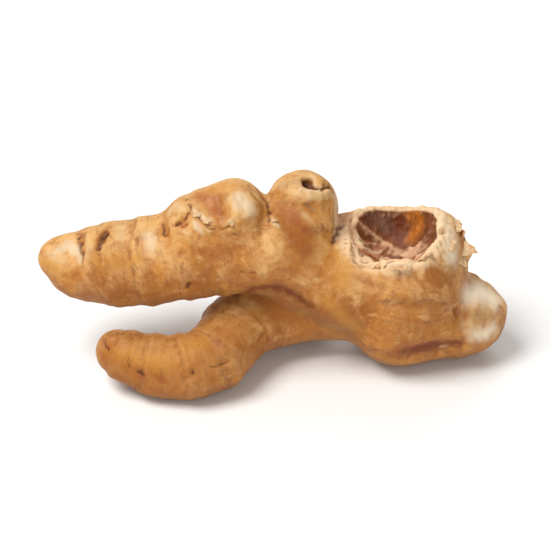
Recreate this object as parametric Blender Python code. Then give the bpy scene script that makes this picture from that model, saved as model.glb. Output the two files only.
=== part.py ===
"""Ginger root: one mature rhizome, broken from its hand and lying on a table.

The rhizome grew as one piece, so it is one solid. It is a stout main lobe with a hollow break on
top, a stem lobe beside it, a long upper finger with a knob, a lower finger that curves forward
along the table, and short side buds. Each lobe is a centre line with a radius at each station.
The lobes are fused and drawn onto one smooth skin, and the rings, eyes, scars, buds and creases
of ginger skin are then pressed into it or raised from it.
"""

import math

import bmesh
import bpy
import numpy as np
from mathutils import Vector, noise

MM = 0.001

# How the skin is made, in millimetres
STEP_ALONG_LOBE = 1.6
VOXEL = 0.8
FLAT_SPOT_BAND = 0.15
TRIANGLES = 11400

# x runs along the root, y away from the front, z up from the table. The middle of the finished
# outline becomes the origin.
MIDDLE = (0.6, 18.5, 0.0)

# Each lobe: how softly it joins the others, and stations (x, y, z, radius) along its centre line
LOBES = {
    "upper_finger": (3.0, [
        (-51.5, 18.5, 29.8, 8.6),
        (-45.5, 19.0, 29.6, 10.8),
        (-36.2, 19.0, 30.5, 11.5),
        (-27.5, 19.0, 31.9, 11.6),
        (-18.9, 19.0, 32.8, 11.6),
        (-10.3, 19.5, 33.6, 11.4),
        (-1.6, 20.0, 33.4, 10.8),
    ]),
    "spine": (4.0, [
        (-1.6, 20.0, 33.4, 10.8),
        (4.9, 21.0, 30.5, 10.6),
        (12.4, 20.5, 25.4, 11.2),
        (19.5, 20.0, 23.0, 12.6),
    ]),
    "main_lobe": (4.0, [
        (34.5, 20.0, 14.6, 15.4),
        (35.6, 20.5, 20.5, 16.0),
        (36.8, 22.0, 26.0, 15.6),
    ]),
    "rim": (3.0, [
        (18.0, 29.5, 30.5, 6.6),
        (27.0, 31.0, 31.0, 7.3),
        (36.0, 30.5, 31.5, 7.3),
        (43.0, 25.0, 33.4, 8.0),
    ]),
    "stem_lobe": (2.5, [
        (5.5, 21.0, 30.0, 10.8),
        (6.6, 24.0, 35.5, 10.6),
        (7.8, 28.4, 42.0, 9.6),
    ]),
    "knob": (3.4, [
        (-19.5, 20.0, 40.6, 9.6),
        (-10.6, 21.6, 43.3, 10.1),
    ]),
    "lower_finger": (2.2, [
        (-41.0, 6.8, 9.9, 5.8),
        (-35.6, 4.4, 8.7, 7.5),
        (-29.2, 2.9, 8.0, 8.3),
        (-22.7, 2.5, 8.4, 8.8),
        (-15.7, 5.2, 9.4, 9.2),
        (-8.6, 16.5, 11.4, 9.6),
        (0.5, 21.5, 12.0, 9.2),
        (11.9, 22.0, 12.4, 8.0),
        (22.7, 21.0, 13.5, 8.6),
    ]),
    "side_stub": (2.0, [
        (41.0, 20.3, 13.8, 13.4),
        (47.0, 20.6, 12.6, 12.3),
        (52.8, 20.8, 11.4, 10.2),
    ]),
    "rear_foot": (3.0, [
        (6.0, 22.0, 25.0, 10.4),
        (6.5, 28.0, 16.5, 9.8),
        (7.4, 33.5, 9.4, 9.4),
        (8.2, 35.6, 7.6, 8.0),
    ]),
    "tip_bud": (0.8, [
        (-53.0, 18.5, 31.5, 7.2),
        (-56.5, 18.5, 32.0, 5.6),
    ]),
    "back_bud": (1.0, [
        (-32.0, 27.0, 31.0, 5.2),
        (-33.0, 31.0, 31.0, 3.8),
    ]),
    "rear_bud": (1.0, [
        (42.0, 34.0, 19.0, 6.0),
        (44.0, 38.0, 18.0, 4.4),
    ]),
    "torn_flap": (1.2, [
        (47.5, 22.5, 32.0, 4.0),
        (51.4, 21.6, 31.6, 2.2),
    ]),
}

# The hollow break on top of the main lobe. A shallow bite with a wavy torn edge and a raised lip
# holds a deeper one, with a ridge of torn flesh between them and a pocket in front of the ridge.
SHALLOW_BITE = ((31.0, 20.6, 42.6), (13.2, 14.4, 9.8))
DEEP_BITE = ((31.6, 25.8, 41.5), (10.8, 9.8, 14.0))
POCKET = ((24.8, 15.0, 37.4), (5.2, 5.2, 5.2))
BITE_EDGE = 0.7
BITE_TEAR = 0.7
RIDGE_HEIGHT = 2.2
RIDGE_WIDTH = 1.4
LIP_HEIGHT = 0.8
LIP_WIDTH = 1.3

# Rings left by the scale leaves: how high, and how far along each lobe from its first station
RINGS = {
    "upper_finger": (0.5, [1.2, 9.5, 18.0, 28.5, 38.0]),
    "spine": (0.25, [6.0]),
    "main_lobe": (0.28, [-5.5, 2.0, 9.0]),
    "stem_lobe": (0.3, [8.5, 14.5]),
    "knob": (0.3, [2.5]),
    "lower_finger": (0.5, [3.2, 10.0, 18.5, 27.0, 38.0]),
    "side_stub": (0.3, [7.0, 14.5]),
    "rear_foot": (0.45, [9.0, 14.0, 19.5]),
    "tip_bud": (0.4, [2.0]),
}
RING_WIDTH = 1.4
RING_WANDER = 1.8
RING_FADE = 3.0

# Eyes, scars and buds: where, how wide along x, y and z, how deep (raised if negative), how crisp
# their edge is, and how high a rim stands round them
MARKS = {
    "peeled_tip": ((-53.7, 14.4, 37.2), (3.0, 3.8, 3.6), 0.9, 8, 0.0),
    "upper_finger_eye": ((-44.7, 15.7, 40.2), (1.8, 2.7, 2.5), 1.2, 5, 0.5),
    "upper_finger_spot": ((-34.6, 13.8, 41.2), (1.7, 1.5, 1.5), 0.6, 5, 0.3),
    "upper_finger_slit": ((-22.8, 7.5, 31.1), (3.4, 1.4, 1.2), 0.6, 5, 0.2),
    "knob_notch": ((-28.2, 15.3, 43.1), (2.2, 1.8, 2.0), 1.0, 4, 0.3),
    "knob_pit": ((-23.4, 13.9, 46.7), (1.8, 1.8, 1.8), 0.9, 5, 0.4),
    "knob_bump_left": ((-26.0, 14.5, 45.5), (1.6, 1.6, 1.6), -0.7, 4, 0.0),
    "knob_bump_low": ((-22.0, 11.8, 43.5), (2.2, 1.6, 1.6), -0.6, 4, 0.0),
    "knob_scar": ((-16.3, 15.7, 50.3), (4.6, 4.2, 4.2), 1.0, 8, 0.0),
    "knob_scar_lip": ((-14.6, 12.3, 46.0), (4.4, 1.3, 1.3), -0.6, 4, 0.0),
    "knob_bud": ((-7.4, 15.6, 50.7), (4.2, 4.2, 4.2), -0.9, 7, 0.0),
    "knob_bud_middle": ((-8.2, 15.4, 51.2), (1.4, 1.4, 1.4), 0.6, 5, 0.2),
    "stem_pit": ((10.1, 25.8, 50.8), (1.9, 1.9, 1.9), 2.2, 5, 0.4),
    "stem_lip": ((13.4, 26.4, 49.4), (2.4, 1.8, 1.8), -0.9, 4, 0.0),
    "stem_ridge": ((8.0, 22.4, 49.1), (4.6, 1.3, 1.3), -0.7, 4, 0.0),
    "stem_mark": ((9.9, 20.7, 46.6), (2.2, 1.3, 1.3), 0.6, 5, 0.0),
    "stem_bump": ((0.5, 17.1, 44.6), (1.5, 1.5, 1.5), -0.8, 4, 0.0),
    "crevice": ((16.6, 22.4, 38.0), (1.8, 3.0, 3.4), 1.2, 4, 0.2),
    "base_scar": ((40.5, 6.4, 10.1), (9.5, 6.0, 3.4), 0.8, 6, 0.3),
    "main_eye": ((24.0, 9.6, 31.0), (2.6, 2.0, 2.6), 0.4, 4, 0.0),
    "stub_bud": ((61.4, 18.7, 16.2), (2.8, 2.8, 2.8), -0.9, 6, 0.0),
    "stub_spot": ((48.3, 10.4, 20.8), (1.5, 1.5, 1.5), 0.6, 5, 0.3),
    "lower_tip_slit": ((-43.9, 4.5, 14.3), (1.2, 1.6, 2.2), 0.7, 5, 0.2),
    "lower_eye_1": ((-34.7, -3.6, 10.9), (1.4, 1.4, 1.4), 0.7, 5, 0.4),
    "lower_eye_2": ((-29.2, -5.4, 9.9), (1.2, 1.2, 1.2), 0.6, 5, 0.3),
    "lower_eye_3": ((-20.9, -5.4, 12.0), (1.5, 1.5, 1.5), 0.7, 5, 0.4),
    "lower_eye_4": ((-13.3, -3.0, 13.4), (1.3, 1.3, 1.3), 0.6, 5, 0.3),
    "rear_eye_finger": ((-44.0, 29.0, 31.0), (2.4, 1.8, 2.4), 1.1, 5, 0.5),
    "rear_eye_middle": ((-17.0, 30.5, 34.0), (1.9, 1.9, 1.9), 0.8, 5, 0.4),
    "rear_eye_stem": ((8.0, 38.5, 44.0), (2.6, 2.6, 2.6), 1.0, 6, 0.4),
    "rear_eye_main": ((30.0, 36.0, 22.0), (2.8, 2.8, 2.4), 1.2, 5, 0.5),
    "rear_bud_tip": ((45.2, 42.0, 18.0), (2.0, 2.0, 2.0), -0.6, 5, 0.0),
    "root_stub_1": ((-30.0, 18.0, 19.0), (1.3, 1.3, 1.3), -0.9, 6, 0.0),
    "root_stub_2": ((-12.0, 21.0, 22.5), (1.5, 1.5, 1.5), -1.0, 6, 0.0),
    "root_stub_3": ((44.0, 31.0, 8.0), (1.4, 1.4, 1.4), -0.9, 6, 0.0),
    "root_stub_4": ((20.0, 30.0, 17.0), (1.3, 1.3, 1.3), -0.8, 6, 0.0),
}
RIM_PLACE = 1.25
RIM_WIDTH = 0.3

# Creases in the skin: depth, width and the line they follow
CREASES = {
    "knob": (1.0, 0.9, [
        (-2.4, 26.0, 51.0), (-2.0, 22.0, 49.5), (-1.9, 19.4, 47.9), (-2.7, 16.2, 46.2),
        (-3.2, 13.4, 43.4)]),
    "finger_tip": (0.9, 0.9, [
        (-51.4, 24.0, 37.2), (-50.8, 19.0, 39.4), (-50.0, 15.0, 38.7), (-50.3, 11.8, 36.4),
        (-50.6, 10.0, 32.5)]),
    "stub_root": (0.5, 1.2, [
        (47.5, 9.8, 8.0), (48.5, 9.6, 14.0), (50.0, 13.0, 20.0), (50.5, 20.0, 23.4)]),
}

# Slow unevenness of the whole skin: wavelength and height of each layer
UNEVENNESS = [(15.0, 0.6), (6.5, 0.28)]
RELIEF_STARTS_AT = 0.6
RELIEF_FULL_AT = 3.0


def smooth_path(stations):
    """Catmull-Rom points through the stations, with the radius carried along."""
    points = np.array(stations, float)
    ends = np.vstack([2 * points[0] - points[1], points, 2 * points[-1] - points[-2]])
    made = []
    for a, b, c, d in zip(ends, ends[1:], ends[2:], ends[3:]):
        count = max(1, math.ceil(np.linalg.norm(c[:3] - b[:3]) / STEP_ALONG_LOBE))
        for t in np.arange(count) / count:
            made.append(0.5 * (2 * b + (c - a) * t + (2 * a - 5 * b + 4 * c - d) * t**2
                               + (3 * b - a - 3 * c + d) * t**3))
    made.append(points[-1])
    return np.array(made)


def lobe_distance(points, path):
    """Distance from each point to the lobe's skin, and how far along the lobe it lies.

    Points beyond an end are given a place before the start or after the end.
    """
    best = np.full(len(points), np.inf)
    along = np.zeros(len(points))
    walked = 0.0
    last = len(path) - 2
    for index, (a, b) in enumerate(zip(path, path[1:])):
        span = b[:3] - a[:3]
        length = np.linalg.norm(span)
        reach = (points - a[:3]) @ span / length**2
        share = np.clip(reach, 0, 1)
        gap = np.linalg.norm(points - a[:3] - share[:, None] * span, axis=1)
        gap -= a[3] + share * (b[3] - a[3])
        nearer = gap < best
        place = np.clip(reach, -np.inf if index == 0 else 0, np.inf if index == last else 1)
        best[nearer] = gap[nearer]
        along[nearer] = walked + place[nearer] * length
        walked += length
    return best, along


def smooth_union(a, b, soft):
    """Joins two distances with a fillet of about the given width."""
    mix = np.clip(0.5 + 0.5 * (b - a) / soft, 0, 1)
    return b + (a - b) * mix - soft * mix * (1 - mix)


def ball_distance(points, centre, radii):
    return (np.linalg.norm((points - centre) / radii, axis=1) - 1) * min(radii)


def bite_distance(points):
    """Distance to the hollow break, whose wall waves where the flesh tore."""
    aside, away = (points - SHALLOW_BITE[0])[:, :2].T
    turn = np.arctan2(away, aside)
    out = np.clip(np.hypot(aside, away) / min(SHALLOW_BITE[1]), 0, 1)
    tear = BITE_TEAR * out**2 * (np.sin(3 * turn + 1) + 0.7 * np.sin(8 * turn))
    shallow = ball_distance(points, *SHALLOW_BITE) + tear
    shallow = smooth_union(shallow, ball_distance(points, *POCKET), BITE_EDGE)
    deep = ball_distance(points, *DEEP_BITE)
    ridge = RIDGE_HEIGHT * np.exp(-(deep / RIDGE_WIDTH)**2)
    return smooth_union(shallow + ridge, deep, BITE_EDGE)


def skin_distance(points, paths):
    """Distance to the fused skin, with the break taken out and its lip raised."""
    joined = None
    for name, (soft, _) in LOBES.items():
        lobe, _ = lobe_distance(points, paths[name])
        joined = lobe if joined is None else smooth_union(joined, lobe, soft)
    bite = bite_distance(points)
    joined -= LIP_HEIGHT * np.exp(-(bite / LIP_WIDTH)**2)
    return -smooth_union(-joined, bite, BITE_EDGE)


def drawn_onto_skin(points, paths, rounds=5, probe=0.05):
    """Moves each point along the slope of the distance until it lies on the skin."""
    for _ in range(rounds):
        here = skin_distance(points, paths)
        slope = np.empty_like(points)
        for axis in range(3):
            offset = np.zeros(3)
            offset[axis] = probe
            ahead = skin_distance(points + offset, paths)
            behind = skin_distance(points - offset, paths)
            slope[:, axis] = (ahead - behind) / (2 * probe)
        size = np.maximum((slope**2).sum(1), 0.25)
        points = points - (here / size)[:, None] * slope
    return points


def layer_of_noise(points, wavelength):
    """Smooth unevenness between about -1 and 1."""
    return np.array([noise.noise(Vector(point) / wavelength) for point in points])


def ring_relief(points, paths):
    """A low ledge with a groove beside it, wherever a scale leaf went round a lobe."""
    gaps, places = zip(*(lobe_distance(points, path) for path in paths.values()))
    nearest = np.sort(gaps, axis=0)
    clear = np.clip((nearest[1] - nearest[0]) / RING_FADE, 0, 1)
    wander = RING_WANDER * layer_of_noise(points, 11.0)
    height = np.zeros(len(points))
    for name, gap, place in zip(paths, gaps, places):
        own = (gap == nearest[0]) * clear
        ledge, rings = RINGS.get(name, (0, []))
        for ring in rings:
            beside = (place + wander - ring) / RING_WIDTH
            height += own * ledge * (np.exp(-beside**2) - 0.8 * np.exp(-(beside + 1.6)**2))
    return height


def mark_relief(points, paths):
    """Eyes, scars and buds, each centred on the skin nearest to its place."""
    centres = drawn_onto_skin(np.array([mark[0] for mark in MARKS.values()]), paths)
    height = np.zeros(len(points))
    for centre, (_, radii, depth, crisp, rim) in zip(centres, MARKS.values()):
        out = np.linalg.norm((points - centre) / radii, axis=1)
        height -= depth / (1 + np.exp(np.clip((out - 1) * crisp, -50, 50)))
        height += rim * np.exp(-((out - RIM_PLACE) / RIM_WIDTH)**2)
    return height


def crease_relief(points, paths):
    """Narrow grooves along lines on the skin."""
    height = np.zeros(len(points))
    for depth, width, line in CREASES.values():
        route = drawn_onto_skin(np.array(line), paths)
        thread = np.hstack([route, np.zeros((len(route), 1))])
        gap, _ = lobe_distance(points, thread)
        height -= depth * np.exp(-(gap / width)**2)
    return height


def skin_relief(points, paths):
    """How far each point of the skin stands out, fading to nothing where the root touches down."""
    height = ring_relief(points, paths) + mark_relief(points, paths) + crease_relief(points, paths)
    for wavelength, amount in UNEVENNESS:
        height += amount * layer_of_noise(points, wavelength)
    fade = (points[:, 2] - RELIEF_STARTS_AT) / (RELIEF_FULL_AT - RELIEF_STARTS_AT)
    return height * np.clip(fade, 0, 1)


def object_of_balls(name, balls):
    """One object holding a round ball for each (centre, radii)."""
    mesh = bpy.data.meshes.new(name)
    form = bmesh.new()
    for centre, radii in balls:
        made = bmesh.ops.create_icosphere(form, subdivisions=3, radius=1)
        bmesh.ops.scale(form, verts=made["verts"], vec=Vector(radii) * MM)
        bmesh.ops.translate(form, verts=made["verts"], vec=Vector(centre) * MM)
    form.to_mesh(mesh)
    form.free()
    made = bpy.data.objects.new(name, mesh)
    bpy.context.scene.collection.objects.link(made)
    return made


def remesh(body, name):
    fuse = body.modifiers.new(name, "REMESH")
    fuse.mode = "VOXEL"
    fuse.voxel_size = VOXEL * MM


def apply_modifiers(body):
    """Replaces the object's mesh with what its modifiers make of it."""
    graph = bpy.context.evaluated_depsgraph_get()
    finished = bpy.data.meshes.new_from_object(body.evaluated_get(graph))
    body.modifiers.clear()
    body.data = finished


def fused_balls(paths):
    """One closed mesh around balls strung along every lobe, with the break cut out of it."""
    body = object_of_balls("rhizome", [
        (ball[:3], (ball[3],) * 3) for path in paths.values() for ball in path])
    remesh(body, "fuse")
    apply_modifiers(body)
    for bite in (SHALLOW_BITE, DEEP_BITE, POCKET):
        cutter = object_of_balls("bite", [bite])
        cut = body.modifiers.new("bite", "BOOLEAN")
        cut.operation = "DIFFERENCE"
        cut.object = cutter
        apply_modifiers(body)
        bpy.data.objects.remove(cutter)
    remesh(body, "even_out")
    apply_modifiers(body)
    return body


def positions_of(body):
    """Vertex positions in millimetres."""
    flat = np.empty(len(body.data.vertices) * 3)
    body.data.vertices.foreach_get("co", flat)
    return flat.reshape(-1, 3) / MM


def normals_of(body):
    flat = np.empty(len(body.data.vertices) * 3)
    body.data.vertex_normals.foreach_get("vector", flat)
    return flat.reshape(-1, 3)


def move_vertices(body, points):
    body.data.vertices.foreach_set("co", (points * MM).ravel())
    body.data.update()


def thin_out(body):
    """Softens the mesh and brings it down to the triangle budget, finest where it bends most."""
    triangles = sum(len(face.vertices) - 2 for face in body.data.polygons)
    soften = body.modifiers.new("soften", "SMOOTH")
    soften.factor = 0.4
    soften.iterations = 2
    thin = body.modifiers.new("thin", "DECIMATE")
    thin.ratio = TRIANGLES / triangles
    thin.use_collapse_triangulate = True
    apply_modifiers(body)


def ginger_skin():
    """Dry tan skin, matt, with no metal."""
    material = bpy.data.materials.new("ginger_skin")
    material.use_nodes = True
    surface = material.node_tree.nodes["Principled BSDF"]
    surface.inputs["Base Color"].default_value = (0.565, 0.266, 0.091, 1)
    surface.inputs["Roughness"].default_value = 0.62
    surface.inputs["Metallic"].default_value = 0
    return material


def clear_scene():
    for left in list(bpy.data.objects):
        bpy.data.objects.remove(left)


def main():
    clear_scene()
    paths = {name: smooth_path(stations) for name, (_, stations) in LOBES.items()}
    body = fused_balls(paths)
    move_vertices(body, drawn_onto_skin(positions_of(body), paths))
    skin = positions_of(body)
    skin += skin_relief(skin, paths)[:, None] * normals_of(body)
    skin[:, 2] = np.maximum(skin[:, 2], 0)
    move_vertices(body, skin)
    thin_out(body)
    skin = positions_of(body)
    skin[skin[:, 2] < FLAT_SPOT_BAND, 2] = 0
    move_vertices(body, skin - MIDDLE)
    body.data.shade_smooth()
    body.data.materials.append(ginger_skin())


main()
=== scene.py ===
"""Ginger root: the finished look of one mature rhizome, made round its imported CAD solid.

The skin is a copy of the solid, remeshed finely and then worked over as a sculptor would: rings,
wrinkles, eyes, scars and the torn flesh of the break. Papery shreds, scale leaves and root stubs
are small pieces set on it. Lengths in the tables are millimetres in the solid's own frame: x runs
along the root, y away from the front and z up from the table.
"""
import math

import bpy
import numpy as np
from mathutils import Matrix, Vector, noise


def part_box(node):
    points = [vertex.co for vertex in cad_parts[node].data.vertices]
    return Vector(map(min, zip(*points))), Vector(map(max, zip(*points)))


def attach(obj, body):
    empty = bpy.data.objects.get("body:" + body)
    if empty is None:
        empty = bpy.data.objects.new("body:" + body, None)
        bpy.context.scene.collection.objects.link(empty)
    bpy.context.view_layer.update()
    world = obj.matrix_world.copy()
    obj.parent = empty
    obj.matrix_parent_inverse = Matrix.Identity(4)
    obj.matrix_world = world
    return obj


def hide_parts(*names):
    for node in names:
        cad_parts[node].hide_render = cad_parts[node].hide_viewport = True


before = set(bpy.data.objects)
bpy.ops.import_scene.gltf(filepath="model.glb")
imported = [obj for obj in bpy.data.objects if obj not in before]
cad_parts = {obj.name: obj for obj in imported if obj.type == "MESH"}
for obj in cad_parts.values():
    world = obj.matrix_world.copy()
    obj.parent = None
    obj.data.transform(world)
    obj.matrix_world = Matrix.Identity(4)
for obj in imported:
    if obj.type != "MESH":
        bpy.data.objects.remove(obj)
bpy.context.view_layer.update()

bl_info = {
    "name": "Ginger Root",
    "version": (1, 0, 0),
    "blender": (4, 5, 0),
    "location": "View3D > Sidebar > Ginger",
    "description": "Finishes the ginger root's skin, torn flesh, scale leaves and stage",
    "category": "Add Mesh",
}

MM = 0.001
BODY = "root"
NODE = "rhizome"

# The solid was drawn with x and y from another corner; this is its middle there
MIDDLE = np.array((0.6, 18.5, 0.0))

# Centre lines of the lobes, as in the solid: the rings of each (how far along from its first
# station) and its stations (x, y, z, radius)
LOBES = {
    "upper_finger": ([1.2, 9.5, 18.0, 28.5, 38.0], [
        (-51.5, 18.5, 29.8, 8.6), (-45.5, 19.0, 29.6, 10.8), (-36.2, 19.0, 30.5, 11.5),
        (-27.5, 19.0, 31.9, 11.6), (-18.9, 19.0, 32.8, 11.6), (-10.3, 19.5, 33.6, 11.4),
        (-1.6, 20.0, 33.4, 10.8)]),
    "spine": ([6.0], [
        (-1.6, 20.0, 33.4, 10.8), (4.9, 21.0, 30.5, 10.6), (12.4, 20.5, 25.4, 11.2),
        (19.5, 20.0, 23.0, 12.6)]),
    "main_lobe": ([-5.5, 2.0, 9.0], [
        (34.5, 20.0, 14.6, 15.4), (35.6, 20.5, 20.5, 16.0), (36.8, 22.0, 26.0, 15.6)]),
    "rim": ([], [
        (18.0, 29.5, 30.5, 6.6), (27.0, 31.0, 31.0, 7.3), (36.0, 30.5, 31.5, 7.3),
        (43.0, 25.0, 33.4, 8.0)]),
    "stem_lobe": ([8.5, 14.5], [
        (5.5, 21.0, 30.0, 10.8), (6.6, 24.0, 35.5, 10.6), (7.8, 28.4, 42.0, 9.6)]),
    "knob": ([2.5], [(-19.5, 20.0, 40.6, 9.6), (-10.6, 21.6, 43.3, 10.1)]),
    "lower_finger": ([3.2, 10.0, 18.5, 27.0, 38.0], [
        (-41.0, 6.8, 9.9, 5.8), (-35.6, 4.4, 8.7, 7.5), (-29.2, 2.9, 8.0, 8.3),
        (-22.7, 2.5, 8.4, 8.8), (-15.7, 5.2, 9.4, 9.2), (-8.6, 16.5, 11.4, 9.6),
        (0.5, 21.5, 12.0, 9.2), (11.9, 22.0, 12.4, 8.0), (22.7, 21.0, 13.5, 8.6)]),
    "side_stub": ([7.0, 14.5], [
        (41.0, 20.3, 13.8, 13.4), (47.0, 20.6, 12.6, 12.3), (52.8, 20.8, 11.4, 10.2)]),
    "rear_foot": ([9.0, 14.0, 19.5], [
        (6.0, 22.0, 25.0, 10.4), (6.5, 28.0, 16.5, 9.8), (7.4, 33.5, 9.4, 9.4),
        (8.2, 35.6, 7.6, 8.0)]),
    "tip_bud": ([2.0], [(-53.0, 18.5, 31.5, 7.2), (-56.5, 18.5, 32.0, 5.6)]),
    "back_bud": ([], [(-32.0, 27.0, 31.0, 5.2), (-33.0, 31.0, 31.0, 3.8)]),
    "rear_bud": ([], [(42.0, 34.0, 19.0, 6.0), (44.0, 38.0, 18.0, 4.4)]),
}
STEP_ALONG_LOBE = 1.6

# How far the rings wander from a clean circle, in mm
RING_WANDER = 1.8

# The hollow break: a shallow bite and a deep one, each a centre and radii. The torn zone fades out
# past the shallow bite and towards the stem lobe, between two x, and stops at a height
SHALLOW_BITE = ((31.0, 20.6, 42.6), (13.2, 14.4, 9.8))
DEEP_BITE = ((31.6, 25.8, 41.5), (10.8, 9.8, 14.0))
BREAK_REACH = (8.0, 2.0)
BREAK_FLOOR = 24
STEM_LOBE_EDGE = (15.5, 18.5)

# The front view that marks are placed in: its angle above the table, the distance of the eye, how
# many millimetres one step across or down is, and the step at which the solid's own corner lies
VIEW_ANGLE = math.radians(35)
EYE_DISTANCE = 600.0
VIEW_STEP = 0.54
VIEW_MIDDLE = (283, 345)
TABLE_STEP = 402

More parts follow.
